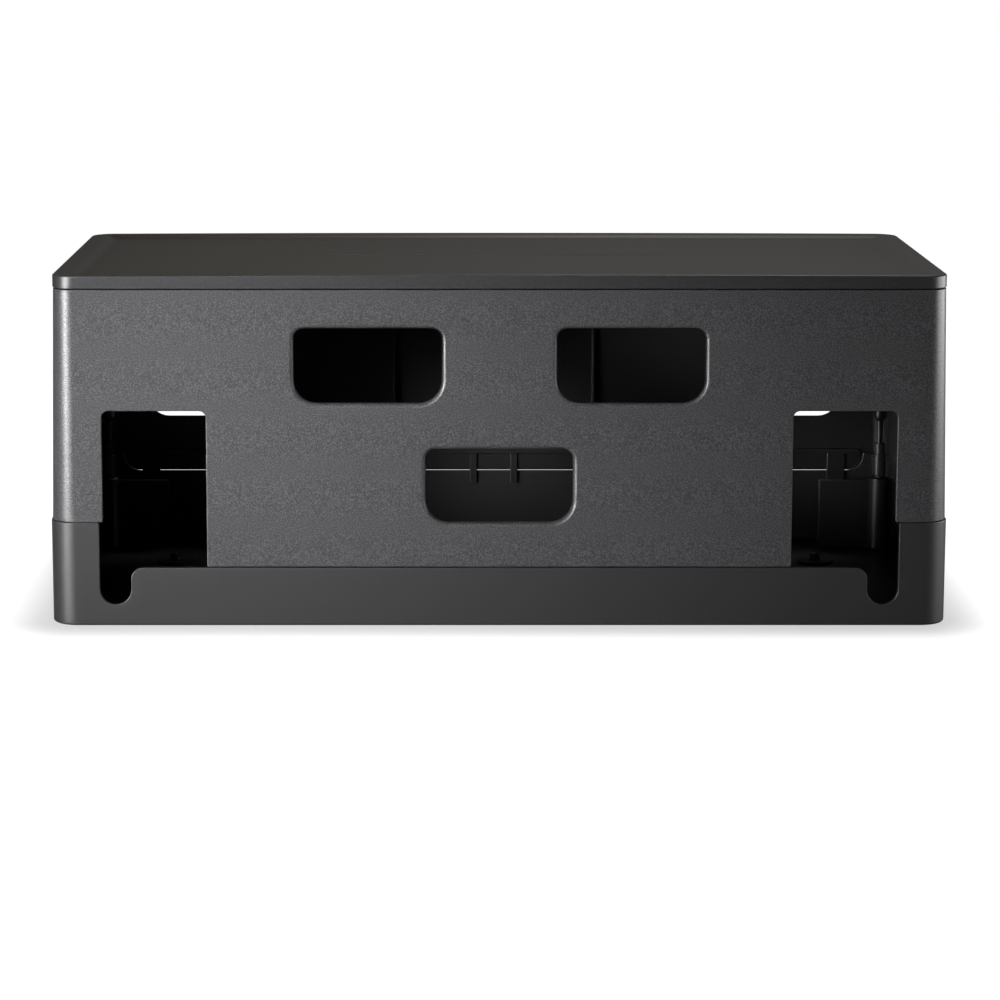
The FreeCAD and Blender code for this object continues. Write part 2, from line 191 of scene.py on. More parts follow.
def onWall(x, z, depth, side, reach):
    # A point of a flat wall: reach gives the outer face's distance from the middle at height z
    return np.stack([x, side * (reach(z) - depth), z], -1)


def rim(path, toOpening, profile, side, reach, closed=False):
    # The wall's edge profile carried along a path; each point moves back from the opening
    back, depth = profile
    x = path[:, 0, None] - toOpening[:, 0, None] * back
    z = path[:, 1, None] - toOpening[:, 1, None] * back
    points = onWall(x, z, np.broadcast_to(depth, x.shape), side, reach)
    faces = gridFaces(x.shape[0], x.shape[1], closed, False)
    return points.reshape(-1, 3), faces.tolist()


def wallPanel(path, toOpening, otherEdge, holes, edge, holeEdge, side, reach, thickness):
    # A flat wall with one shaped edge, one straight edge at height otherEdge, and round-cornered holes
    patches = [rim(path, toOpening, edge, side, reach)]
    for hole, inward in holes:
        patches.append(rim(hole, inward, holeEdge, side, reach, closed=True))
    for layer in (0, -1):
        shaped = path - toOpening * edge[0][layer]
        loops = [np.concatenate([shaped, [[path[-1, 0], otherEdge], [path[0, 0], otherEdge]]])]
        loops += [hole - inward * holeEdge[0][layer] for hole, inward in holes]
        depth = 0.0 if layer == 0 else thickness
        loops = [onWall(loop[:, 0], loop[:, 1], depth, side, reach) for loop in loops]
        patches.append(capLoops(loops))
    return patches


def makePiece(name, patches, material, body):
    # Joins patches into one mesh, welds their shared edges and turns every face outwards
    starts = np.cumsum([0] + [len(points) for points, faces in patches])
    points = np.concatenate([points for points, faces in patches]) * mm
    faces = [[index + start for index in face]
             for (corners, patch), start in zip(patches, starts) for face in patch]
    mesh = bpy.data.meshes.new(name)
    mesh.from_pydata(points.tolist(), [], faces)
    shape = bmesh.new()
    shape.from_mesh(mesh)
    bmesh.ops.remove_doubles(shape, verts=shape.verts, dist=weldGap * mm)
    bmesh.ops.dissolve_degenerate(shape, edges=shape.edges, dist=weldGap * mm / 10)
    bmesh.ops.recalc_face_normals(shape, faces=shape.faces)
    openEdges = sum(1 for edge in shape.edges if len(edge.link_faces) != 2)
    shape.to_mesh(mesh)
    shape.free()
    mesh.polygons.foreach_set("use_smooth", np.ones(len(mesh.polygons), bool))
    mesh.set_sharp_from_angle(angle=math.radians(sharpAngle))
    piece = bpy.data.objects.new(name, mesh)
    bpy.context.scene.collection.objects.link(piece)
    mesh.materials.append(material)
    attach(piece, body)
    print("made", name, len(mesh.polygons), "faces, open edges", openEdges)
    return piece


def evenShading(piece):
    # Large faces lead the shading, so that flat walls stay flat beside their rounded edges
    weighted = piece.modifiers.new("evenShading", "WEIGHTED_NORMAL")
    weighted.keep_sharp = True
    weighted.weight = flatWeight


def softEdges(piece):
    bevel = piece.modifiers.new("softEdges", "BEVEL")
    bevel.width = shared["ribRound"] * mm
    bevel.segments = 2
    bevel.limit_method = "ANGLE"
    bevel.angle_limit = math.radians(bevelAngle)


# Finishes

def newGroup(name, inputs, outputs):
    group = bpy.data.node_groups.new(name, "ShaderNodeTree")
    for label, kind in inputs:
        group.interface.new_socket(label, in_out="INPUT", socket_type=kind)
    for label, kind in outputs:
        group.interface.new_socket(label, in_out="OUTPUT", socket_type=kind)
    start = group.nodes.new("NodeGroupInput")
    end = group.nodes.new("NodeGroupOutput")
    return group, start, end


def mathNode(tree, operation, first, second=0.0, third=0.0):
    # One step of arithmetic; each value is a number or another node's output
    node = tree.nodes.new("ShaderNodeMath")
    node.operation = operation
    for socket, value in zip(node.inputs, (first, second, third)):
        if isinstance(value, (int, float)):
            socket.default_value = value
        else:
            tree.links.new(value, socket)
    return node.outputs[0]


def noiseNode(tree, vector, scale, detail, roughness):
    node = tree.nodes.new("ShaderNodeTexNoise")
    node.inputs["Detail"].default_value = detail
    node.inputs["Roughness"].default_value = roughness
    tree.links.new(vector, node.inputs["Vector"])
    if isinstance(scale, (int, float)):
        node.inputs["Scale"].default_value = scale
    else:
        tree.links.new(scale, node.inputs["Scale"])
    return node.outputs["Fac"]


def mapped(tree, value, low, high, atLow, atHigh, kind="LINEAR"):
    # The value carried from the range low to high onto the range atLow to atHigh, and held at its ends
    node = tree.nodes.new("ShaderNodeMapRange")
    node.interpolation_type = kind
    for label, number in (("From Min", low), ("From Max", high), ("To Min", atLow), ("To Max", atHigh)):
        node.inputs[label].default_value = number
    tree.links.new(value, node.inputs["Value"])
    return node.outputs["Result"]


def mixColours(tree, factor, first, second, blend="MIX"):
    node = tree.nodes.new("ShaderNodeMix")
    node.data_type = "RGBA"
    node.blend_type = blend
    for socket, value in ((node.inputs["Factor"], factor), (node.inputs["A"], first), (node.inputs["B"], second)):
        if isinstance(value, tuple):
            socket.default_value = (*value, 1)
        elif isinstance(value, float):
            socket.default_value = value
        else:
            tree.links.new(value, socket)
    return node.outputs["Result"]


grainShape = {
    "pitDetail": 3.0,
    "pitRoughness": 0.6,
    "speckDetail": 2.0,
    "speckRoughness": 0.7,
    "speckFrom": 0.42,          # noise below this gives no speck, and above speckFull a whole one
    "speckFull": 0.72,
    "cloudScale": 16.0,
    "cloudDetail": 3.0,
    "cloudRoughness": 0.5,
}


def buildMouldGrain():
    # Spark-eroded mould texture: fine pits for the bump, small pale specks and a slow cloudiness
    g = grainShape
    number = "NodeSocketFloat"
    group, start, end = newGroup(
        "mouldGrain",
        [("Vector", "NodeSocketVector"), ("Grain Scale", number), ("Speck Scale", number)],
        [("Height", number), ("Specks", number), ("Cloud", number)],
    )
    vector = start.outputs["Vector"]
    pits = noiseNode(group, vector, start.outputs["Grain Scale"], g["pitDetail"], g["pitRoughness"])
    specks = noiseNode(group, vector, start.outputs["Speck Scale"], g["speckDetail"], g["speckRoughness"])
    cloud = noiseNode(group, vector, g["cloudScale"], g["cloudDetail"], g["cloudRoughness"])
    group.links.new(pits, end.inputs["Height"])
    group.links.new(mapped(group, specks, g["speckFrom"], g["speckFull"], 0.0, 1.0), end.inputs["Specks"])
    group.links.new(cloud, end.inputs["Cloud"])
    return group


mouldGrain = buildMouldGrain()


def outlineDistance(tree, x, y):
    # Distance from the tray's round-cornered outline: the length of what lies beyond its straight part, less
    # the corner radius. It is negative inside.
    beyond = []
    for axis, reach in ((x, shared["halfX"]), (y, shared["halfY"])):
        size = mathNode(tree, "ABSOLUTE", axis)
        past = mathNode(tree, "SUBTRACT", size, (reach - shared["radius"]) * mm)
        past = mathNode(tree, "MAXIMUM", past)
        beyond.append(mathNode(tree, "MULTIPLY", past, past))
    away = mathNode(tree, "ADD", beyond[0], beyond[1])
    away = mathNode(tree, "SQRT", away)
    return mathNode(tree, "SUBTRACT", away, shared["radius"] * mm)


def mouldedPlastic(name, look):
    # Charcoal plastic: the grain group drives its colour, roughness and bump
    material = bpy.data.materials.new(name)
    material.use_nodes = True
    tree = material.node_tree
    shader = tree.nodes["Principled BSDF"]
    shader.inputs["IOR"].default_value = look["ior"]
    place = tree.nodes.new("ShaderNodeTexCoord")
    grain = tree.nodes.new("ShaderNodeGroup")
    grain.node_tree = mouldGrain
    grain.inputs["Grain Scale"].default_value = look["grainScale"]
    grain.inputs["Speck Scale"].default_value = look["speckScale"]
    tree.links.new(place.outputs["Object"], grain.inputs["Vector"])

    share = mathNode(tree, "MULTIPLY", grain.outputs["Specks"], look["speckShare"])
    colour = mixColours(tree, share, look["base"], look["speck"])
    smoothest = look["rough"] - look["roughSpread"] / 2
    rough = mathNode(tree, "MULTIPLY_ADD", grain.outputs["Height"], look["roughSpread"], smoothest)
    if "top" in look:
        # Faces that look up take the top's roughness and a warmer colour: a painted reflection
        parts = tree.nodes.new("ShaderNodeSeparateXYZ")
        tree.links.new(place.outputs["Normal"], parts.inputs[0])
        paintedReflectionMask = mapped(tree, parts.outputs["Z"], look["topReflectionFrom"], look["topFull"], 0.0, 1.0)
        colour = mixColours(tree, paintedReflectionMask, colour, look["top"])
        smoother = mathNode(tree, "MULTIPLY", paintedReflectionMask, look["topRough"] - look["rough"])
        rough = mathNode(tree, "ADD", rough, smoother)
    if "paintedShadeFrom" in look:
        # Past the middle of its walls the colour is darker: painted shade on the inside of the box
        parts = tree.nodes.new("ShaderNodeSeparateXYZ")
        tree.links.new(place.outputs["Object"], parts.inputs[0])
        away = outlineDistance(tree, parts.outputs["X"], parts.outputs["Y"])
        deep = mathNode(tree, "LESS_THAN", away, -look["paintedShadeFrom"] * mm)
        above = mathNode(tree, "GREATER_THAN", parts.outputs["Z"], look["paintedShadeLow"] * mm)
        inside = mathNode(tree, "MULTIPLY", deep, above)
        colour = mixColours(tree, inside, colour, look["inside"])
    tint = mathNode(tree, "MULTIPLY_ADD", grain.outputs["Cloud"], look["cloud"], 1 - look["cloud"] / 2)
    colour = mixColours(tree, 1.0, colour, tint, "MULTIPLY")
    tree.links.new(colour, shader.inputs["Base Color"])
    tree.links.new(rough, shader.inputs["Roughness"])
    bump = tree.nodes.new("ShaderNodeBump")
    bump.inputs["Strength"].default_value = look["bump"]
    bump.inputs["Distance"].default_value = look["bumpDepth"] * mm
    tree.links.new(grain.outputs["Height"], bump.inputs["Height"])
    tree.links.new(bump.outputs["Normal"], shader.inputs["Normal"])
    return material


plasticLook = {
    "base": (0.012, 0.012, 0.013),
    "speck": (0.105, 0.105, 0.110),
    "speckShare": 0.72,         # how far the palest grains go towards the speck colour
    "cloud": 0.10,
    "rough": 0.38,
    "roughSpread": 0.06,
    "bump": 0.16,
    "bumpDepth": 0.10,
    "ior": 1.48,
    "grainScale": 1900.0,
    "speckScale": 1900.0,
}
# Painted shade: the inside faces of cover and tray take a darker colour
insideShadeLook = {
    "inside": (0.004, 0.004, 0.004),
    "paintedShadeLow": trayLow[2] + 1.35,     # half way through the tray's floor
}
coverLook = {
    **plasticLook,
    **insideShadeLook,
    "paintedShadeFrom": 3.1,          # how far in from the tray's outline the painted inside shade begins
}
trayLook = {
    **plasticLook,
    **insideShadeLook,
    "speck": (0.028, 0.028, 0.029),
    "speckShare": 0.5,
    "rough": 0.42,
    "bump": 0.10,
    "paintedShadeFrom": 1.5,
}
lidLook = {
    **plasticLook,
    "speck": (0.042, 0.042, 0.044),
    "speckShare": 0.5,
    "bump": 0.10,
    # Painted reflection: a warm tint on the lid's upward faces
    "top": (0.034, 0.027, 0.019),
    "topRough": 0.42,
    "topReflectionFrom": 0.80,            # upward part of the surface's direction at which the top's painted reflection sets in
    "topFull": 0.95,
}
rubberLook = {
    **plasticLook,
    "speck": (0.03, 0.03, 0.03),
    "speckShare": 0.3,
    "bump": 0.08,
}
coverPlastic = mouldedPlastic("coverPlastic", coverLook)
trayPlastic = mouldedPlastic("trayPlastic", trayLook)
lidPlastic = mouldedPlastic("lidPlastic", lidLook)
softRubber = mouldedPlastic("softRubber", rubberLook)
print("finishes made")


# Base tray

tray = {
    "bottom": trayLow[2],
    "floorTop": trayLow[2] + 2.7,
    "baseRound": 1.2,
    "bandTop": 7.5,             # the full ring of wall below the cut-away rear
    "rearTop": 27.6,
    "notchInner": 166.3,
    "notchOuter": 180.3,
    "notchBottom": 10.7,
    "notchShoulder": 5.3,
    "frontDrop": 9.3,
    "frontDropX": 187.3,
    "edgeRound": 0.45,
    "cornerRound": 0.9,         # small corners in the wall's outline
    "floorFillet": 1.5,
    "socketTop": 39.3,
    "socketRadius": 5.0,
    "boreRadius": 2.5,
    "boreDepth": 8.0,
    "gussetTop": 37.8,
    "webTop": 38.1,
    "gussetLength": 30.0,
    "ribHalf": 1.0,
    "footX": trayHigh[0] - 46.0,
    "footY": trayHigh[1] - 57.0,
    "footSeat": 1.6,
    "seatRadius": 7.15,
    "neckRadius": 2.05,
    "bossRadius": 9.0,
    "bossHeight": 1.4,
    "locatorInset": 3.78,       # from the tray's outside to the locator's outer face
    "locatorY": 35.0,
    "locatorHalf": 6.0,
    "locatorThickness": 1.6,
    "locatorRoot": 12.0,
    "locatorStep": 1.0,
    "locatorRise": 4.0,
    "notchSlack": 0.01,         # the notch's two quarter rounds don't quite meet
    "seatRound": 0.4,           # soft edges of the foot seats, bosses and bores
    "socketLip": 0.4,
    "socketFlare": 0.3,         # how much wider a socket is at its root
    "rootDepth": 1.0,           # how far columns and webs reach into the floor
    "webOverlap": 1.0,          # how far webs reach into the columns
}
rightSide = slice(0, 2 * (cornerSteps + 1))
leftSide = slice(2 * (cornerSteps + 1), 4 * (cornerSteps + 1))
coreX = shared["halfX"] - shared["radius"]


def trayRing(depth, z):
    # The tray's outline, moved inwards by depth
    return boxLoop(shared["halfX"] - depth, shared["halfY"] - depth, shared["radius"] - depth, z)


def trayReach(z):
    # Half the tray's depth, the same at every height
    return shared["halfY"] + 0 * z


def makeTray():
    t = tray
    wall = shared["wall"]
    edge = edgeProfile(t["edgeRound"], t["edgeRound"], wall)
    phi = np.linspace(0, math.pi / 2, rimSteps + 1)
    patches = []

    # Underside edge, and the fillet between the wall and the floor
    outside = [trayRing(0, t["bandTop"])]
    outside += [trayRing(t["baseRound"] * (1 - math.cos(a)), t["bottom"] + t["baseRound"] * (1 - math.sin(a)))
                for a in phi]
    inside = [trayRing(wall, t["bandTop"])]
    inside += [trayRing(wall + t["floorFillet"] * (1 - math.cos(a)),
                        t["floorTop"] + t["floorFillet"] * (1 - math.sin(a))) for a in phi]
    patches += [loft(outside), loft(inside)]

    # Floor: both faces, with a turned boss and recess for each foot
    places = [(sx * t["footX"], sy * t["footY"]) for sx in (-1, 1) for sy in (-1, 1)]
    soft = t["seatRound"]
    under = [circleLoop(t["seatRadius"] + soft, x, y, t["bottom"]) for x, y in places]
    above = [circleLoop(t["bossRadius"] + soft, x, y, t["floorTop"]) for x, y in places]
    patches.append(capLoops([outside[-1]] + under))
    patches.append(capLoops([inside[-1]] + above))
    bossTop = t["floorTop"] + t["bossHeight"]
    seatTop = t["bottom"] + t["footSeat"]
    profile = [(t["seatRadius"] + soft, t["bottom"]), (t["seatRadius"], t["bottom"] + soft),
               (t["seatRadius"], seatTop), (t["neckRadius"], seatTop), (t["neckRadius"], bossTop - soft / 2),
               (t["neckRadius"] + soft / 2, bossTop), (t["bossRadius"] - soft, bossTop),
               (t["bossRadius"], bossTop - soft), (t["bossRadius"], t["floorTop"] + soft),
               (t["bossRadius"] + soft, t["floorTop"])]
    patches += [turned(profile, x, y) for x, y in places]

    # Side walls with their corners, as one profile carried round
    back, depth = edge
    profileRings = [trayRing(0, t["bandTop"])]
    profileRings += [trayRing(d, shared["seam"] - b) for b, d in zip(back, depth)]
    profileRings += [trayRing(wall, t["bandTop"])]
    patches += [loft(profileRings, part=rightSide), loft(profileRings, part=leftSide)]

    # Rear wall: low in the middle, with a round-bottomed notch near each end
    seam = shared["seam"]
    half = [(t["notchInner"], t["rearTop"]), (t["notchInner"], t["notchBottom"]),
            (t["notchOuter"], t["notchBottom"]), (t["notchOuter"], seam), (coreX, seam)]
    nook = (t["notchOuter"] - t["notchInner"]) / 2 - t["notchSlack"]
    radii = [t["notchShoulder"], nook, nook, t["cornerRound"], 0]
    points = [(-x, z) for x, z in half[::-1]] + half
    path, left = roundedPath(points, radii[::-1] + radii)
    patches += wallPanel(path, left, t["bandTop"], [], edge, edge, -1, trayReach, wall)

    # Front wall: its top edge drops between the corners
    bend = t["frontDrop"] - t["cornerRound"] - shared["arcSlack"]
    low = seam - t["frontDrop"]
    half = [(t["frontDropX"], low), (t["frontDropX"], seam), (coreX, seam)]
    radii = [bend, t["cornerRound"], 0]
    points = [(-x, z) for x, z in half[::-1]] + half
    path, left = roundedPath(points, radii[::-1] + radii)
    patches += wallPanel(path, left, t["bandTop"], [], edge, edge, 1, trayReach, wall)
    piece = makePiece("tray_walls", patches, trayPlastic, "tray")
    evenShading(piece)
    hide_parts("base_tray")


def makeTraySockets():
    # Columns with a blind bore for the post noses, their webs, gussets and the side locators
    t = tray
    low = t["floorTop"] - t["rootDepth"]
    lip = t["socketLip"]
    inTrayWall = shared["halfX"] - shared["wall"] / 2
    columns = []
    ribs = []
    profile = [(0, low), (t["socketRadius"] + t["socketFlare"], low),
               (t["socketRadius"], t["socketTop"] - lip), (t["socketRadius"] - lip, t["socketTop"]),
               (t["boreRadius"] + lip, t["socketTop"]),
               (t["boreRadius"], t["socketTop"] - lip), (t["boreRadius"], t["socketTop"] - t["boreDepth"]),
               (0, t["socketTop"] - t["boreDepth"])]
    for sx in (-1, 1):
        for sy in (-1, 1):
            x = sx * shared["postX"]
            y = sy * shared["postY"]
            columns.append(turned(profile, x, y))
            start = x + sx * (t["socketRadius"] - t["webOverlap"])
            lowX, highX = sorted((start, sx * inTrayWall))
            ribs.append(bar((lowX, y - t["ribHalf"], low), (highX, y + t["ribHalf"], t["webTop"])))
            if sy > 0:
                start = x - sx * (t["socketRadius"] - t["webOverlap"])
                lowX, highX = sorted((start, x - sx * t["gussetLength"]))
                ribs.append(bar((lowX, y - t["ribHalf"], low), (highX, y + t["ribHalf"], t["gussetTop"])))
            outer = shared["halfX"] - t["locatorInset"]
            inner = sx * (outer - t["locatorThickness"])
            rearY = sy * t["locatorY"] - t["locatorHalf"]
            frontY = sy * t["locatorY"] + t["locatorHalf"]
            rootZ = shared["seam"] - t["locatorRoot"]
            stepZ = shared["seam"] - t["locatorStep"]
            topZ = shared["seam"] + t["locatorRise"]
            outline = [(inner, rootZ), (sx * inTrayWall, rootZ), (sx * inTrayWall, stepZ),
                       (sx * outer, stepZ), (sx * outer, topZ), (inner, topZ)]
            ribs += slab(outline, rearY, frontY)
    sockets = makePiece("tray_sockets", columns, trayPlastic, "tray")
    evenShading(sockets)
    webs = makePiece("tray_ribs", ribs, trayPlastic, "tray")
    softEdges(webs)
    evenShading(webs)


# Cover

cover = {
    "step": 0.6,
    "draft": 0.02,
    "top": coverHigh[2],
    "bandLow": 145.0,           # the full ring of wall above the holes
    "topRound": 0.3,
    "ledgeWidth": 12.0,
    "ledgeThickness": 2.5,
    "mouthRadius": 2.0,
    "rearLow": coverLow[2],
    "cutoutInner": 131.8,
    "cutoutOuter": 178.6,
    "cutoutTop": 98.95,
    "cutoutRadius": 3.1,
    "edgeRound": 0.45,
    "cornerRound": 0.9,
    "frontGap": 0.6,
    "frontEndGap": 0.25,        # the seam closes up at its curved ends
    "holeWidth": 66.2,
    "holeHeight": 33.3,
    "holeTopRadius": 4.7,
    "holeLowRadius": 10.4,
    "holeRound": 2.2,
    "rearHoles": [(-59.0, 102.7), (59.0, 102.7), (0.0, 48.3)],
    "frontHoles": [(-141.2, 67.55), (141.2, 67.55)],
    "bossRadius": 3.1,
    "bossLow": 67.8,
    "bossTaper": 2.0,
    "rodRadius": 1.5,
    "pinRadius": 1.0,
    "pinLow": 35.1,
    "sleeveHigh": 56.6,
    "ribX": 50.0,
    "ribWidth": 1.5,
    "ribDepth": 3.0,
    "railDepth": 2.0,
    "railHeight": 2.5,
    "railInset": 6.0,
    "tabX": 10.25,
    "tabWidth": 3.6,
    "hookX": 173.5,
    "hookWidth": 9.0,
    "tabReach": 6.0,
    "tabThickness": 1.5,
    "holeBackRound": 0.3,
    "ledgeFillet": 0.8,
}


def coverReach(z):
    # Half the cover's depth at height z: it narrows towards its top
    return shared["halfY"] - cover["step"] - (z - shared["seam"]) * cover["draft"]


def coverRing(depth, z):
    # The cover's outline at height z, moved inwards by depth: it leans in by the draft
    lean = cover["step"] + (z - shared["seam"]) * cover["draft"] + depth
    return boxLoop(shared["halfX"] - lean, shared["halfY"] - lean, shared["radius"] - lean, z)


def mouthRing(inset, z):
    # The outline of the opening under the lid, moved inwards by inset
    lean = cover["step"] + (cover["top"] - shared["seam"]) * cover["draft"] + cover["ledgeWidth"] + inset
    return boxLoop(shared["halfX"] - lean, shared["halfY"] - lean, cover["mouthRadius"], z)


def holePath(centreX, lowZ):
    # A cable hole's outline: tight corners above, wide corners below
    c = cover
    left = centreX - c["holeWidth"] / 2
    right = centreX + c["holeWidth"] / 2
    points = [(left, lowZ), (right, lowZ), (right, lowZ + c["holeHeight"]), (left, lowZ + c["holeHeight"])]
    radii = [c["holeLowRadius"], c["holeLowRadius"], c["holeTopRadius"], c["holeTopRadius"]]
    return roundedPath(points, radii, closed=True)


def makeCover():
    c = cover
    wall = shared["wall"]
    seam = shared["seam"]
    edge = edgeProfile(c["edgeRound"], c["edgeRound"], wall)
    holeEdge = edgeProfile(c["holeRound"], c["holeBackRound"], wall)
    phi = np.linspace(0, math.pi / 2, rimSteps + 1)
    patches = []

    # Top band: outer face, soft top edge, ledge, mouth, and back down the inner face
    soft = c["topRound"]
    under = c["top"] - c["ledgeThickness"]
    rings = [coverRing(0, c["bandLow"])]
    rings += [coverRing(soft * (1 - math.cos(a)), c["top"] - soft * (1 - math.sin(a))) for a in phi]
    rings += [mouthRing(-soft * (1 - math.sin(a)), c["top"] - soft * (1 - math.cos(a))) for a in phi]
    rings += [mouthRing(0, under), coverRing(wall + c["ledgeFillet"], under),
              coverRing(wall, under - c["ledgeFillet"]), coverRing(wall, c["bandLow"])]
    patches.append(loft(rings))

    # Side walls with their corners
    back, depth = edge
    rings = [coverRing(0, c["bandLow"])]
    rings += [coverRing(d, seam + b) for b, d in zip(back, depth)]
    rings += [coverRing(wall, c["bandLow"])]
    patches += [loft(rings, part=rightSide), loft(rings, part=leftSide)]

    # Rear wall: a tall cut-out near each end, the low middle, and its holes
    half = [(c["cutoutInner"], c["rearLow"]), (c["cutoutInner"], c["cutoutTop"]),
            (c["cutoutOuter"], c["cutoutTop"]), (c["cutoutOuter"], seam), (coreX, seam)]
    radii = [c["cornerRound"], c["cutoutRadius"], c["cutoutRadius"], c["cornerRound"], 0]
    points = [(-x, z) for x, z in half[::-1]] + half
    path, left = roundedPath(points, radii[::-1] + radii)
    holes = [holePath(x, z) for x, z in c["rearHoles"]]
    patches += wallPanel(path, -left, c["bandLow"], holes, edge, holeEdge, -1, coverReach, wall)

    # Front wall: a shallow tongue that fills the tray's dropped edge, and two holes
    reachX = tray["frontDropX"] - c["frontEndGap"]
    low = seam - tray["frontDrop"] + c["frontGap"]
    half = [(reachX, low), (reachX, seam), (coreX, seam)]
    radii = [seam - low - c["cornerRound"] - shared["arcSlack"], c["cornerRound"], 0]
    points = [(-x, z) for x, z in half[::-1]] + half
    path, left = roundedPath(points, radii[::-1] + radii)
    holes = [holePath(x, z) for x, z in c["frontHoles"]]
    patches += wallPanel(path, -left, c["bandLow"], holes, edge, holeEdge, 1, coverReach, wall)
    piece = makePiece("cover_walls", patches, coverPlastic, "cover")
    evenShading(piece)
    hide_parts("cover_shell")


def makeCoverPosts():
    # Corner posts: a boss under the ledge, a rod, and a pin inside the soft bush
    c = cover
    inWall = shared["wall"] / 2         # how far a rib's root reaches into the wall
    root = c["top"] - c["ledgeThickness"] / 2
    profile = [(0, c["pinLow"]), (c["pinRadius"], c["pinLow"]), (c["pinRadius"], c["sleeveHigh"]),
               (c["rodRadius"], c["sleeveHigh"]), (c["rodRadius"], c["bossLow"]),
               (c["bossRadius"], c["bossLow"] + c["bossTaper"]), (c["bossRadius"], root), (0, root)]
    columns = [turned(profile, sx * shared["postX"], sy * shared["postY"])
               for sx in (-1, 1) for sy in (-1, 1)]
    posts = makePiece("cover_posts", columns, coverPlastic, "cover")
    evenShading(posts)

    railTop = shared["seam"] + c["railHeight"]
    faceAtRail = coverReach(railTop) - shared["wall"]
    faceAtTop = coverReach(c["top"] - c["ledgeThickness"]) - shared["wall"]
    railHalf = coreX - c["railInset"]
    ribs = [bar((-railHalf, faceAtRail - c["railDepth"], shared["seam"]),
                (railHalf, faceAtRail + inWall, railTop))]
    back = shared["halfY"] - shared["wall"] - shared["gap"]
    tabLow = shared["seam"] - tray["frontDrop"] - c["tabReach"]
    for sx in (-1, 1):
        x = sx * c["ribX"]
        halfRib = c["ribWidth"] / 2
        ribs.append(bar((x - halfRib, faceAtTop - c["ribDepth"], shared["seam"]),
                        (x + halfRib, faceAtTop + inWall, root)))
        for centre, width in ((sx * c["tabX"], c["tabWidth"]), (sx * c["hookX"], c["hookWidth"])):
            ribs.append(bar((centre - width / 2, back - c["tabThickness"], tabLow),
                            (centre + width / 2, back, railTop)))
    piece = makePiece("cover_ribs", ribs, coverPlastic, "cover")
    softEdges(piece)
    evenShading(piece)


# Lid

lid = {
    "halfX": lidHigh[0],
    "halfY": lidHigh[1],
    "radius": 10.2,
    "low": 154.1,
    "top": lidHigh[2],
    "edgeThickness": 2.0,
    "topRound": 0.8,
    "lowRound": 0.25,
    "rimWidth": 6.0,
    "dishDepth": 1.6,
    "slopeWidth": 8.0,
    "slopeSteps": 12,
    "crown": 0.12,              # how much the dish floor rises towards its middle
    "bow": 0.5,                 # how far the ends of the top lie below its middle
    "sideSteps": 24,
    "underside": 156.4,
    "skirtLow": lidLow[2],
    "skirtThickness": 1.8,
    "skirtRound": 0.3,
    "clearance": 0.4,
    "leastRadius": 1.5,         # corners of the inner rings stay at least this round
    "floorEdge": 4.0,           # half the width of the flat strip in the middle of the dish
    "floorSteps": 11,
}


def lidRing(depth, z):
    # The lid's outline, moved inwards by depth
    radius = max(lid["radius"] - depth, lid["leastRadius"])
    return boxLoop(lid["halfX"] - depth, lid["halfY"] - depth, radius, z)


def crowned(rings):
    # Points are added along both long sides. Then the ends of the top sink by the square of their distance
    # from the middle, and the bottom edge stays level.
    corners = np.array(rings).reshape(len(rings), 4, cornerSteps + 1, 3)
    share = np.linspace(0, 1, lid["sideSteps"] + 1)[1:-1, None]
    parts = []
    for k in range(4):
        parts.append(corners[:, k])
        if k in (1, 3):
            start = corners[:, k, -1, None]
            parts.append(start + (corners[:, (k + 1) % 4, 0, None] - start) * share)
    points = np.concatenate(parts, 1)
    height = np.clip((points[..., 2] - lid["low"]) / (lid["top"] - lid["low"]), 0, 1)
    points[..., 2] -= lid["bow"] * (points[..., 0] / lid["halfX"]) ** 2 * height
    return points


def makeLid():
    l = lid
    phi = np.linspace(0, math.pi / 2, rimSteps + 1)
    rings = []
    # Underside cap, skirt, edge wall, top edge, rim, slope and dish floor, in turn
    skirtOuter = l["clearance"]
    skirtInner = skirtOuter + l["skirtThickness"]
    soft = l["skirtRound"]
    rings += [mouthRing(skirtInner, l["underside"]), mouthRing(skirtInner, l["skirtLow"] + soft),
              mouthRing(skirtInner - soft, l["skirtLow"]), mouthRing(skirtOuter + soft, l["skirtLow"]),
              mouthRing(skirtOuter, l["skirtLow"] + soft), mouthRing(skirtOuter, l["underside"])]
    rings += [lidRing(l["edgeThickness"], l["underside"])]
    soft = l["lowRound"]
    rings += [lidRing(l["edgeThickness"] - soft * (1 - math.cos(a)), l["low"] + soft * (1 - math.sin(a)))
              for a in phi]
    rings += [lidRing(soft * (1 - math.sin(a)), l["low"] + soft * (1 - math.cos(a))) for a in phi]
    soft = l["topRound"]
    rings += [lidRing(soft * (1 - math.cos(a)), l["top"] - soft * (1 - math.sin(a))) for a in phi]
    # The slope falls as half a cosine wave, so that it meets rim and floor without an edge
    share = np.linspace(0, 1, l["slopeSteps"] + 1)
    fall = l["dishDepth"] * (1 - np.cos(math.pi * share)) / 2
    rings += [lidRing(l["rimWidth"] + l["slopeWidth"] * s, l["top"] - f) for s, f in zip(share, fall)]
    # The floor rises a little towards the middle
    floorFrom = l["rimWidth"] + l["slopeWidth"]
    floorTo = l["halfY"] - l["floorEdge"]
    share = np.linspace(0, 1, l["floorSteps"] + 1)[1:]
    rise = l["crown"] * np.sin(math.pi / 2 * share)
    rings += [lidRing(floorFrom + (floorTo - floorFrom) * s, l["top"] - l["dishDepth"] + r)
              for s, r in zip(share, rise)]
    rings = crowned(rings)
    patches = [loft(rings), capLoops([rings[0]]), capLoops([rings[-1]])]
    piece = makePiece("lid_plate", patches, lidPlastic, "lid")
    evenShading(piece)
    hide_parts("lid")


makeTray()
makeTraySockets()
makeCover()
makeCoverPosts()
makeLid()

# Rubber parts keep their solids and take the soft finish
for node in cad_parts.values():
    if node.name.startswith(("foot_", "post_bush_", "lid_pad_")):
        node.data.materials.clear()
        node.data.materials.append(softRubber)
print("pieces made")


# Floor, lights and camera

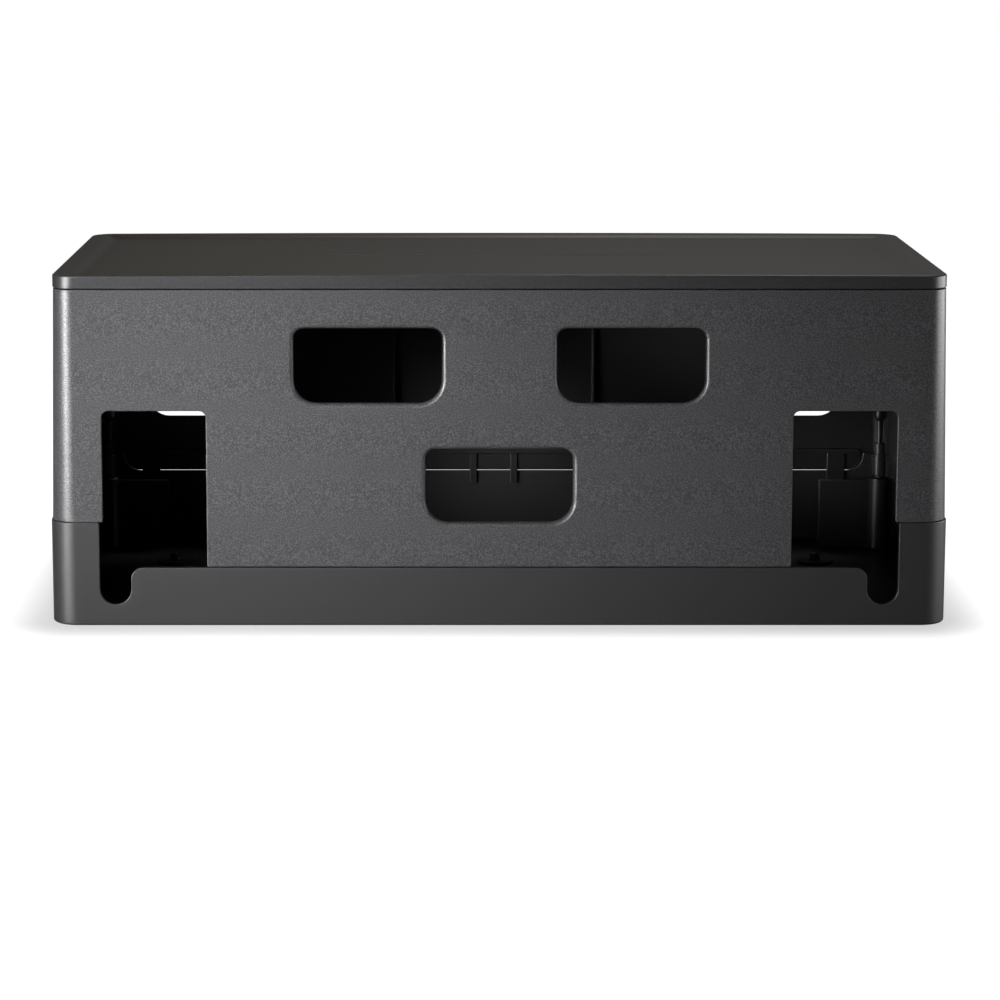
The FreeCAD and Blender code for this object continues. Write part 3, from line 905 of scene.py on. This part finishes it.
studio = {
    "floorSize": 6.0,
    "floorColour": (0.25, 0.25, 0.25, 1),
    "paintedShadowGlow": 0.56,        # the floor's own white to the camera beside the box, lowered there as a painted contact shadow
    "floorGlow": 0.97,
    "paintedShadowReach": 0.029,
    "whiteFrom": 0.45,
    "worldLight": 0.04,
    "cameraPlace": (-0.0231, -1.4289, 0.3262),
    "cameraPitch": 9.4,
    "lens": 109.3,
    "shift": (0.052, -0.10),
    "sensor": 36,
    "clipStart": 0.05,
    "wallLeft": (-0.12, -0.09, 0.09),       # what the lamps point at
    "cornerLeft": (-0.197, -0.083, 0.10),
    "cornerRight": (0.197, -0.083, 0.10),
    "boxMiddle": (0.0, 0.0, 0.08),
}
lamps = {       # place, what it points at, size, watts, and the spread of its beam in degrees
    "keyLeft": ((-0.80, -0.75, 0.15), "wallLeft", (0.34, 0.26), 0.82, 26),
    "keyMiddle": ((-0.50, -1.10, 0.50), "wallLeft", (0.25, 0.25), 0.26, 24),
    "lowLeft": ((-0.82, -0.73, 0.16), "cornerLeft", (0.60, 0.30), 4.0, 180),
    "lowRight": ((1.094, -0.005, 0.16), "cornerRight", (1.04, 0.30), 11, 180),
    "backLow": ((0.0, 1.36, 0.40), "boxMiddle", (1.2, 0.25), 0.14, 180),
    "backTop": ((0.2, 0.45, 0.95), "boxMiddle", (0.5, 0.3), 3.3, 180),
}


def makeFloor():
    # A white sheet: to the camera it glows white, less so close to the box: a painted contact shadow
    half = studio["floorSize"] / 2
    mesh = bpy.data.meshes.new("floor")
    corners = [(-half, -half, 0), (half, -half, 0), (half, half, 0), (-half, half, 0)]
    mesh.from_pydata(corners, [], [(0, 1, 2, 3)])
    floor = bpy.data.objects.new("floor", mesh)
    bpy.context.scene.collection.objects.link(floor)
    material = bpy.data.materials.new("floorPaper")
    material.use_nodes = True
    tree = material.node_tree
    tree.nodes.clear()
    place = tree.nodes.new("ShaderNodeTexCoord")
    parts = tree.nodes.new("ShaderNodeSeparateXYZ")
    tree.links.new(place.outputs["Object"], parts.inputs[0])
    away = outlineDistance(tree, parts.outputs["X"], parts.outputs["Y"])
    reach = studio["paintedShadowReach"]
    # Painted contact shadow: the glow rises from its low beside the box
    paintedShadowLevel = mapped(tree, away, 0.0, reach, studio["paintedShadowGlow"], studio["floorGlow"], "SMOOTHSTEP")
    far = mapped(tree, away, reach, studio["whiteFrom"], 0.0, 1 - studio["floorGlow"], "SMOOTHSTEP")
    level = mathNode(tree, "ADD", paintedShadowLevel, far)
    ray = tree.nodes.new("ShaderNodeLightPath")
    strength = mathNode(tree, "MULTIPLY", ray.outputs["Is Camera Ray"], level)
    glow = tree.nodes.new("ShaderNodeEmission")
    tree.links.new(strength, glow.inputs["Strength"])
    diffuse = tree.nodes.new("ShaderNodeBsdfDiffuse")
    diffuse.inputs["Color"].default_value = studio["floorColour"]
    both = tree.nodes.new("ShaderNodeAddShader")
    out = tree.nodes.new("ShaderNodeOutputMaterial")
    tree.links.new(diffuse.outputs[0], both.inputs[0])
    tree.links.new(glow.outputs[0], both.inputs[1])
    tree.links.new(both.outputs[0], out.inputs["Surface"])
    mesh.materials.append(material)


def makeWorld():
    # White to the camera, a faint soft light to everything else
    world = bpy.data.worlds.new("studio")
    bpy.context.scene.world = world
    world.use_nodes = True
    tree = world.node_tree
    background = tree.nodes["Background"]
    ray = tree.nodes.new("ShaderNodeLightPath")
    light = studio["worldLight"]
    level = mathNode(tree, "MULTIPLY_ADD", ray.outputs["Is Camera Ray"], 1 - light, light)
    tree.links.new(level, background.inputs["Strength"])
    background.inputs["Color"].default_value = (1, 1, 1, 1)


def softbox(name, place, target, size, watts, spread):
    # A rectangular soft lamp; a small spread is a grid on its front that narrows the beam
    way = Vector(studio[target]) - Vector(place)
    light = bpy.data.lights.new(name, "AREA")
    light.shape = "RECTANGLE"
    light.size, light.size_y = size
    light.energy = watts
    light.spread = math.radians(spread)
    lamp = bpy.data.objects.new(name, light)
    lamp.location = place
    lamp.rotation_euler = way.to_track_quat("-Z", "Y").to_euler()
    bpy.context.scene.collection.objects.link(lamp)


def makeCamera():
    lens = bpy.data.cameras.new("camera")
    lens.lens = studio["lens"]
    lens.sensor_width = studio["sensor"]
    lens.shift_x, lens.shift_y = studio["shift"]
    lens.clip_start = studio["clipStart"]
    camera = bpy.data.objects.new("camera", lens)
    camera.location = studio["cameraPlace"]
    camera.rotation_euler = (math.radians(90 - studio["cameraPitch"]), 0, 0)
    bpy.context.scene.collection.objects.link(camera)
    bpy.context.scene.camera = camera


makeFloor()
makeWorld()
for name, settings in lamps.items():
    softbox(name, *settings)
makeCamera()
bpy.context.scene.view_settings.view_transform = "Standard"
print("studio made")
